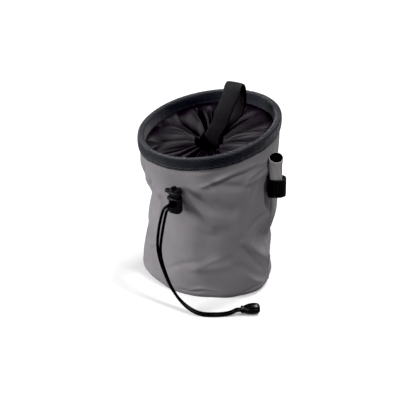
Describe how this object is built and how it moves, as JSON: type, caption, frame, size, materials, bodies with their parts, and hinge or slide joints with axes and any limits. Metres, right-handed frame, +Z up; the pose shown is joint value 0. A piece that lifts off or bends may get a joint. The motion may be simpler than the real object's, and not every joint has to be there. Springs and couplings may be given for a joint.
{
  "type": "climbing chalk bag",
  "caption": "Soft cylindrical chalk bag with a bound rim, gathered drawstring collar, pull loop, cord lock, draw cord and brush holder.",
  "frame": {"origin": "centre of the underside of the base, on the surface that the bag stands on", "axes": "+Z up, +X to the right of the front, where the brush holder is, +Y to the back"},
  "size_m": [0.1263, 0.143, 0.1816],
  "materials": {
    "body_fabric": "matte plain weave",
    "band_tape": "matte herringbone tape",
    "collar_nylon": "soft satin nylon",
    "webbing": "ribbed webbing",
    "elastic": "ribbed elastic",
    "cord_braid": "braided",
    "black_plastic": "satin moulded"
  },
  "bodies": {
    "bag": {"bag_body": "body_fabric", "base_panel": "body_fabric", "rim_band": "band_tape", "closure_collar": "collar_nylon", "pull_loop": "webbing", "lock_barrel": "black_plastic", "draw_cord_left": "cord_braid", "draw_cord_right": "cord_braid", "cord_end": "black_plastic", "brush_sleeve": "body_fabric", "brush_loop": "elastic"},
    "plunger": {"lock_plunger": "black_plastic"}
  },
  "joints": [
    {"name": "plunger_press", "type": "slide", "parent": "bag", "child": "plunger", "axis": [0, 0, -1], "range_m": [0, 0.002], "stiffness_N_per_m": 60, "springref_m": -0.001}
  ]
}
